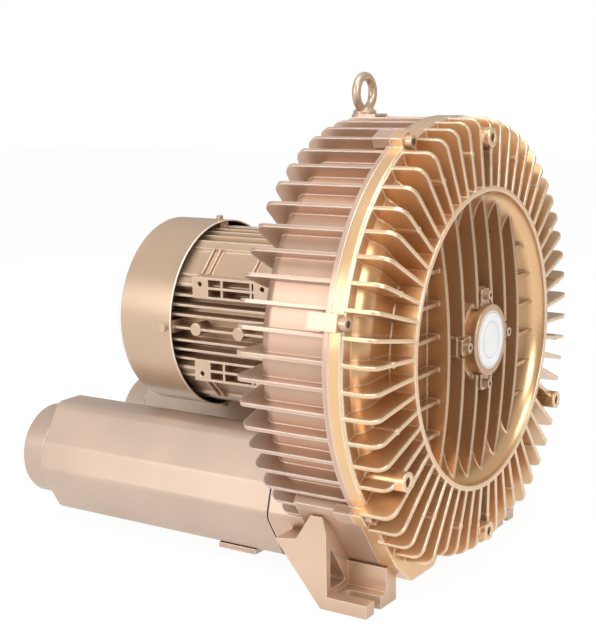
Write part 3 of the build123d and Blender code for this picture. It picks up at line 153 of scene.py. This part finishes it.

# ---------------------------------------------------------------------------
# The casing and its two front feet: aluminium castings with fins all round,
# primed and sprayed in satin champagne metallic. The paint is paler on the
# edges of the fins as a painted highlight, browner between them as painted
# shade, and has the fine texture of the sand.
# ---------------------------------------------------------------------------


def sprayed_casting(name, colour, edge_highlight_colour, gloss, sand=0.12, edge=0.0011, metal=0.55):
    """Metallic paint over a casting: browner in the crevices as painted shade, thin pale edges as painted
    highlight, sand texture.
    """
    paint = bpy.data.materials.new(name)
    paint.use_nodes = True
    nodes, links = paint.node_tree.nodes, paint.node_tree.links
    shader = nodes["Principled BSDF"]
    shader.inputs["Base Color"].default_value = (*colour, 1)
    shader.inputs["Metallic"].default_value = metal
    shader.inputs["Coat Weight"].default_value = 0.25
    shader.inputs["Coat Roughness"].default_value = 0.25
    place = nodes.new("ShaderNodeTexCoord")
    drift = nodes.new("ShaderNodeTexNoise")
    drift.inputs["Scale"].default_value = 9.0
    drift.inputs["Detail"].default_value = 3.0
    links.new(place.outputs["Object"], drift.inputs["Vector"])
    tone = nodes.new("ShaderNodeValToRGB")
    tone.color_ramp.elements[0].position = 0.3
    tone.color_ramp.elements[1].position = 0.7
    tone.color_ramp.elements[0].color = (*[0.90 * c for c in colour], 1)
    tone.color_ramp.elements[1].color = (*[min(1.0, 1.07 * c) for c in colour], 1)
    links.new(drift.outputs["Fac"], tone.inputs["Fac"])
    # Painted shade: the colour is mixed towards a darker brown where ambient occlusion finds crevices.
    open_air = nodes.new("ShaderNodeAmbientOcclusion")
    open_air.samples = 6
    open_air.inputs["Distance"].default_value = 0.025
    depth = nodes.new("ShaderNodeMapRange")
    depth.inputs["From Min"].default_value = 0.25
    depth.inputs["From Max"].default_value = 0.85
    links.new(open_air.outputs["AO"], depth.inputs["Value"])
    crevice_painted_shade = nodes.new("ShaderNodeMix")
    crevice_painted_shade.data_type = "RGBA"
    crevice_painted_shade.inputs["A"].default_value = (0.80 * colour[0], 0.72 * colour[1], 0.62 * colour[2], 1)
    links.new(depth.outputs["Result"], crevice_painted_shade.inputs["Factor"])
    links.new(tone.outputs["Color"], crevice_painted_shade.inputs["B"])
    rounded = nodes.new("ShaderNodeBevel")
    rounded.samples = 4
    rounded.inputs["Radius"].default_value = edge
    flat = nodes.new("ShaderNodeNewGeometry")
    agree = nodes.new("ShaderNodeVectorMath")
    agree.operation = "DOT_PRODUCT"
    links.new(rounded.outputs["Normal"], agree.inputs[0])
    links.new(flat.outputs["Normal"], agree.inputs[1])
    # Painted highlight: a pale colour laid on sharp edges, where the bevel normal turns away from the true
    # normal.
    corner = nodes.new("ShaderNodeMapRange")
    corner.inputs["From Min"].default_value = 0.999
    corner.inputs["From Max"].default_value = 0.90
    links.new(agree.outputs["Value"], corner.inputs["Value"])
    edge_painted_highlight = nodes.new("ShaderNodeMix")
    edge_painted_highlight.data_type = "RGBA"
    links.new(corner.outputs["Result"], edge_painted_highlight.inputs["Factor"])
    links.new(crevice_painted_shade.outputs["Result"], edge_painted_highlight.inputs["A"])
    edge_painted_highlight.inputs["B"].default_value = (*edge_highlight_colour, 1)
    links.new(edge_painted_highlight.outputs["Result"], shader.inputs["Base Color"])
    patchy = nodes.new("ShaderNodeMapRange")
    patchy.inputs["To Min"].default_value = gloss - 0.05
    patchy.inputs["To Max"].default_value = gloss + 0.08
    links.new(drift.outputs["Fac"], patchy.inputs["Value"])
    links.new(patchy.outputs["Result"], shader.inputs["Roughness"])
    grain = nodes.new("ShaderNodeTexNoise")
    grain.inputs["Scale"].default_value = 700.0
    grain.inputs["Detail"].default_value = 2.0
    links.new(place.outputs["Object"], grain.inputs["Vector"])
    bump = nodes.new("ShaderNodeBump")
    bump.inputs["Strength"].default_value = sand
    bump.inputs["Distance"].default_value = 0.0004
    links.new(grain.outputs["Fac"], bump.inputs["Height"])
    links.new(rounded.outputs["Normal"], bump.inputs["Normal"])
    links.new(bump.outputs["Normal"], shader.inputs["Normal"])
    return paint


def finish_node(name, finish):
    """Gives a CAD node its finish."""
    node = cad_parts[name]
    node.data.materials.clear()
    node.data.materials.append(finish)


champagne = sprayed_casting(
    "champagne_casing", (0.60, 0.41, 0.31), (1.0, 0.90, 0.80), 0.34, edge=0.0018, metal=0.62
)
finish_node("blower_housing", champagne)
foot_champagne = sprayed_casting("champagne_feet", (0.68, 0.48, 0.345), (1.0, 0.88, 0.76), 0.38)
finish_node("foot_near", foot_champagne)
finish_node("foot_far", foot_champagne)
finish_node("rear_foot", champagne)

# ---------------------------------------------------------------------------
# The cover: the front casting, whose fins run in over the side channel to the
# rim of a ribbed recess. Same paint, made darker and browner in the recess as painted shade.
# ---------------------------------------------------------------------------
cover_gold = sprayed_casting(
    "champagne_cover", (0.80, 0.51, 0.265), (1.0, 0.90, 0.72), 0.27, edge=0.0028, metal=0.66
)
recess_radius = 0.15
rim_blend = 0.006
nodes, links = cover_gold.node_tree.nodes, cover_gold.node_tree.links
shader = nodes["Principled BSDF"]
sprayed = shader.inputs["Base Color"].links[0].from_socket
place = nodes.new("ShaderNodeTexCoord")
from_shaft = nodes.new("ShaderNodeVectorMath")
from_shaft.operation = "SUBTRACT"
from_shaft.inputs[1].default_value = (0, 0, shaft_height)
links.new(place.outputs["Object"], from_shaft.inputs[0])
flattened = nodes.new("ShaderNodeVectorMath")
flattened.operation = "MULTIPLY"
flattened.inputs[1].default_value = (0, 1, 1)
links.new(from_shaft.outputs["Vector"], flattened.inputs[0])
reach = nodes.new("ShaderNodeVectorMath")
reach.operation = "LENGTH"
links.new(flattened.outputs["Vector"], reach.inputs[0])
outside = nodes.new("ShaderNodeMapRange")
outside.inputs["From Min"].default_value = recess_radius - rim_blend
outside.inputs["From Max"].default_value = recess_radius
links.new(reach.outputs["Value"], outside.inputs["Value"])
# Painted shade: inside the recess radius the paint is multiplied darker and browner.
recess_painted_shade = nodes.new("ShaderNodeMix")
recess_painted_shade.data_type = "RGBA"
recess_painted_shade.blend_type = "MULTIPLY"
recess_painted_shade.inputs["Factor"].default_value = 1.0
recess_painted_shade.inputs["B"].default_value = (0.66, 0.60, 0.56, 1)
links.new(sprayed, recess_painted_shade.inputs["A"])
recess_shade_mix = nodes.new("ShaderNodeMix")
recess_shade_mix.data_type = "RGBA"
links.new(outside.outputs["Result"], recess_shade_mix.inputs["Factor"])
links.new(recess_painted_shade.outputs["Result"], recess_shade_mix.inputs["A"])
links.new(sprayed, recess_shade_mix.inputs["B"])
links.new(recess_shade_mix.outputs["Result"], shader.inputs["Base Color"])
finish_node("housing_cover", cover_gold)
finish_node("bearing_cap", cover_gold)

# ---------------------------------------------------------------------------
# The badge: a round white enamelled plate set in the bearing cap, left blank,
# with a thin grey printed ring near its edge.
# ---------------------------------------------------------------------------


def plain_finish(name, colour, metallic, roughness, speckle=300.0):
    """One even finish whose tone and gloss vary slightly over the surface."""
    finish = bpy.data.materials.new(name)
    finish.use_nodes = True
    nodes, links = finish.node_tree.nodes, finish.node_tree.links
    shader = nodes["Principled BSDF"]
    shader.inputs["Base Color"].default_value = (*colour, 1)
    shader.inputs["Metallic"].default_value = metallic
    place = nodes.new("ShaderNodeTexCoord")
    speck = nodes.new("ShaderNodeTexNoise")
    speck.inputs["Scale"].default_value = speckle
    links.new(place.outputs["Object"], speck.inputs["Vector"])
    tone = nodes.new("ShaderNodeValToRGB")
    tone.color_ramp.elements[0].color = (*[0.85 * c for c in colour], 1)
    tone.color_ramp.elements[1].color = (*[min(1.0, 1.12 * c) for c in colour], 1)
    links.new(speck.outputs["Fac"], tone.inputs["Fac"])
    links.new(tone.outputs["Color"], shader.inputs["Base Color"])
    gloss = nodes.new("ShaderNodeMapRange")
    gloss.inputs["To Min"].default_value = roughness - 0.06
    gloss.inputs["To Max"].default_value = roughness + 0.06
    links.new(speck.outputs["Fac"], gloss.inputs["Value"])
    links.new(gloss.outputs["Result"], shader.inputs["Roughness"])
    return finish


def turned(name, profile, centre, axis, finish, body="machine", steps=96):
    """Piece turned on a lathe: (along, radius) points swept round an axis through centre."""
    along = Vector(axis)
    across = along.orthogonal().normalized()
    third = along.cross(across)
    mesh = bpy.data.meshes.new(name)
    rings = []
    shape = bmesh.new()
    for distance, radius in profile:
        ring = []
        for k in range(steps):
            turn = 2 * math.pi * k / steps
            spoke = math.cos(turn) * across + math.sin(turn) * third
            ring.append(shape.verts.new(Vector(centre) + distance * along + radius * spoke))
        rings.append(ring)
    for low, high in zip(rings, rings[1:]):
        for k in range(steps):
            after = (k + 1) % steps
            shape.faces.new((low[k], low[after], high[after], high[k]))
    bmesh.ops.recalc_face_normals(shape, faces=shape.faces)
    for face in shape.faces:
        face.smooth = True
    shape.to_mesh(mesh)
    shape.free()
    mesh.materials.append(finish)
    piece = bpy.data.objects.new(name, mesh)
    bpy.context.collection.objects.link(piece)
    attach(piece, body)


blank_badge = plain_finish("blank_badge", (0.84, 0.84, 0.835), 0.05, 0.35, speckle=40.0)
finish_node("badge_plate", blank_badge)
grey_print = plain_finish("grey_print", (0.42, 0.42, 0.42), 0.1, 0.4)
badge_low, badge_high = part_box("badge_plate")
badge_radius = (badge_high[2] - badge_low[2]) / 2
badge_centre = (badge_high[0], 0, shaft_height)
ink_raise = 0.00012
ink_sunk = 0.0001
for name, share, line in (("badge_outer_line", 0.95, 0.0006), ("badge_inner_line", 0.62, 0.0004)):
    ring_radius = share * badge_radius
    turned(
        name,
        [
            (-ink_sunk, ring_radius - line),
            (ink_raise, ring_radius - line / 2),
            (ink_raise, ring_radius + line / 2),
            (-ink_sunk, ring_radius + line),
        ],
        badge_centre, (1, 0, 0), grey_print,
    )

# ---------------------------------------------------------------------------
# The motor: a finned aluminium frame between two cast end shields, with a
# cast terminal box, all sprayed like the casing. The fan cowl is pressed from
# sheet, sprayed bronze, with a bare rolled edge; a black sheet inside it is
# painted shade that darkens the inside of the cowl.
# ---------------------------------------------------------------------------
motor_gold = sprayed_casting("champagne_motor", (0.60, 0.425, 0.295), (0.98, 0.86, 0.74), 0.40, edge=0.0014)
for name in ("motor_housing", "drive_end_shield", "rear_end_shield", "terminal_box",
             "terminal_box_lid"):
    finish_node(name, motor_gold)
cowl_bronze = sprayed_casting("bronze_cowl", (0.56, 0.40, 0.28), (0.90, 0.72, 0.56), 0.32, sand=0.04)
finish_node("fan_cowl", cowl_bronze)
# A thin black sheet just inside the cowl's wall is painted shade: it darkens the inside of the cowl.
cowl_shade_black = plain_finish("cowl_shade_black", (0.018, 0.015, 0.013), 0.0, 0.7, speckle=60.0)
cowl_low, cowl_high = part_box("fan_cowl")
cowl_outer = (cowl_high[2] - cowl_low[2]) / 2
sheet_inset = 0.0018
shade_sheet_radius = cowl_outer - sheet_inset
shade_sheet_lip = 0.0004
shade_sheet_start = 0.0008
shade_sheet_stop = 0.002
cowl_depth = cowl_high[0] - cowl_low[0]
turned(
    "cowl_shade_sheet",
    [
        (shade_sheet_lip, shade_sheet_radius + shade_sheet_lip),
        (0, shade_sheet_radius),
        (shade_sheet_stop - cowl_depth, shade_sheet_radius),
    ],
    (cowl_high[0] - shade_sheet_start, 0, shaft_height), (1, 0, 0), cowl_shade_black,
)
cowl_edge = plain_finish("cowl_edge", (0.93, 0.80, 0.66), 0.3, 0.4)
turned(
    "cowl_rolled_edge",
    [
        (-0.0009, cowl_outer + 0.0001),
        (0.0002, cowl_outer + 0.0003),
        (0.0006, cowl_outer - 0.0007),
        (0.0002, cowl_outer - 0.0016),
        (-0.0009, cowl_outer - 0.0016),
    ],
    (cowl_high[0], 0, shaft_height), (1, 0, 0), cowl_edge,
)

# ---------------------------------------------------------------------------
# The silencers: two long octagonal castings, sprayed a little greyer, each
# with a collar screwed to its end. The collar's pipe thread is cut in bare
# aluminium.
# ---------------------------------------------------------------------------
silencer_gold = sprayed_casting("champagne_silencer", (0.56, 0.42, 0.325), (0.94, 0.82, 0.72), 0.40)
for name in ("silencer_shell_near", "silencer_shell_far", "port_flange_near", "port_flange_far"):
    finish_node(name, silencer_gold)
thread_pitch = 0.00231
thread_radius = 0.0361
thread_turns = 13
thread_depth = 0.0013
thread_start = 0.001
cut_thread = plain_finish("cut_thread", (0.60, 0.52, 0.44), 0.8, 0.35)
for place in ("near", "far"):
    collar_low, collar_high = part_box(f"port_flange_{place}")
    crests = [
        (thread_pitch * k / 2, thread_radius - thread_depth * (k % 2))
        for k in range(2 * thread_turns)
    ]
    turned(
        f"port_thread_{place}", crests,
        (
            collar_low[0] + thread_start,
            (collar_low[1] + collar_high[1]) / 2,
            (collar_low[2] + collar_high[2]) / 2,
        ),
        (1, 0, 0), cut_thread,
    )

# ---------------------------------------------------------------------------
# The screws and the lifting eye: turned and forged steel, sprayed over with
# the rest once the machine is together. Most heads have a hex socket, drawn
# as a flat six-sided patch darkened as painted shade.
# ---------------------------------------------------------------------------
screw_gold = sprayed_casting(
    "painted_screws", (0.60, 0.43, 0.30), (0.95, 0.80, 0.64), 0.32, sand=0.03, edge=0.0005
)
for name in ("cover_bolts", "bearing_cap_screws", "flange_bolts", "cowl_screws", "terminal_lid_screws",
             "port_flange_screws", "silencer_tie_bolts", "rear_foot_screws", "eye_bolt",
             "end_shield_bolts"):
    finish_node(name, screw_gold)


def screw_heads(name, way):
    """Middle of the outer face of each screw head of a node, and the head's radius."""
    weld = 0.00002
    face_depth = 0.0002
    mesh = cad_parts[name].data
    shape = bmesh.new()
    shape.from_mesh(mesh)
    bmesh.ops.remove_doubles(shape, verts=shape.verts, dist=weld)
    left = set(shape.verts)
    heads = []
    while left:
        island = [left.pop()]
        for vert in island:
            for edge in vert.link_edges:
                other = edge.other_vert(vert)
                if other in left:
                    left.remove(other)
                    island.append(other)
        reach = max(vert.co.dot(way) for vert in island)
        face = [vert.co.copy() for vert in island if vert.co.dot(way) > reach - face_depth]
        middle = sum(face, Vector()) / len(face)
        heads.append((middle, max((corner - middle).length for corner in face)))
    shape.free()
    return heads


def socket_wells(name, way, share=0.52):
    """Six-sided sockets with a rounded lip, drawn flat and dark as painted shade, one on each screw head of
    a node.
    """
    corners = 6
    low_lift = 0.0001
    lip_lift = 0.00022
    profile = ((low_lift, share), (lip_lift, 1.06 * share), (low_lift, 1.14 * share))
    along = Vector(way).normalized()
    across = along.orthogonal().normalized()
    third = along.cross(across)
    shape = bmesh.new()
    for middle, radius in screw_heads(name, along):
        rings = []
        for lift, size in profile:
            ring = []
            for k in range(corners):
                turn = 2 * math.pi * k / corners
                spoke = math.cos(turn) * across + math.sin(turn) * third
                ring.append(shape.verts.new(middle + lift * along + size * radius * spoke))
            rings.append(ring)
        shape.faces.new(rings[0])
        for low, high in zip(rings, rings[1:]):
            for k in range(corners):
                after = (k + 1) % corners
                shape.faces.new((low[k], low[after], high[after], high[k]))
    mesh = bpy.data.meshes.new(f"{name}_sockets")
    shape.to_mesh(mesh)
    shape.free()
    mesh.materials.append(socket_painted_shade)
    piece = bpy.data.objects.new(f"{name}_sockets", mesh)
    bpy.context.collection.objects.link(piece)
    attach(piece, "machine")


# The sockets' dark colour is painted shade standing for the hollow of each socket.
socket_painted_shade = plain_finish("socket_painted_shade", (0.10, 0.065, 0.04), 0.2, 0.6, speckle=900.0)
for name, way in (
    ("cover_bolts", (1, 0, 0)),
    ("bearing_cap_screws", (1, 0, 0)),
    ("flange_bolts", (-1, 0, 0)),
    ("port_flange_screws", (-1, 0, 0)),
    ("silencer_tie_bolts", (-1, 0, 0)),
    ("terminal_lid_screws", (0, 1, 0)),
    ("rear_foot_screws", (0, 0, -1)),
):
    socket_wells(name, way)

# ---------------------------------------------------------------------------
# The cowl's grille: a pale grey plastic moulding, pressed into the back of the
# cowl, with slots in a sunburst for the cooling air.
# ---------------------------------------------------------------------------
pale_moulding = plain_finish("pale_moulding", (0.78, 0.82, 0.81), 0.0, 0.4)
finish_node("cowl_grille", pale_moulding)
# ---------------------------------------------------------------------------
# The turning parts and their seats: shaft, key, rings and circlips in ground
# steel, an impeller in bare cast aluminium, and the silencers' steel tubes.
# ---------------------------------------------------------------------------
bare_steel = plain_finish("bare_steel", (0.55, 0.55, 0.56), 1.0, 0.28)
for name in ("shaft", "impeller_key", "impeller_spacer", "bearing_circlip", "fan_circlip",
             "front_bearing_outer_ring", "front_bearing_inner_ring", "rear_bearing_outer_ring",
             "rear_bearing_inner_ring", "perforated_tube_near", "perforated_tube_far"):
    finish_node(name, bare_steel)
cast_aluminium = plain_finish("cast_aluminium", (0.75, 0.75, 0.76), 1.0, 0.45)
finish_node("impeller", cast_aluminium)
# ---------------------------------------------------------------------------
# The motor's insides: stacks of punched sheet for stator and rotor, and
# windings of varnished copper wire.
# ---------------------------------------------------------------------------
sheet_stack = plain_finish("sheet_stack", (0.30, 0.30, 0.31), 0.9, 0.5)
finish_node("stator_core", sheet_stack)
finish_node("rotor_core", sheet_stack)
copper_wire = plain_finish("varnished_copper", (0.55, 0.24, 0.10), 0.8, 0.4)
finish_node("stator_windings", copper_wire)
# ---------------------------------------------------------------------------
# Fan, terminal board and cable gland are moulded in black plastic; the shaft
# seal and the gaskets are black rubber, and the silencers are lined with grey
# open foam.
# ---------------------------------------------------------------------------
black_plastic = plain_finish("black_plastic", (0.03, 0.03, 0.032), 0.0, 0.5)
for name in ("cooling_fan", "terminal_board", "cable_gland"):
    finish_node(name, black_plastic)
black_rubber = plain_finish("black_rubber", (0.02, 0.02, 0.02), 0.0, 0.75)
for name in ("shaft_seal", "terminal_box_gasket", "silencer_gasket_near", "silencer_gasket_far"):
    finish_node(name, black_rubber)
grey_foam = plain_finish("grey_foam", (0.16, 0.16, 0.17), 0.0, 0.95)
finish_node("absorber_near", grey_foam)
finish_node("absorber_far", grey_foam)
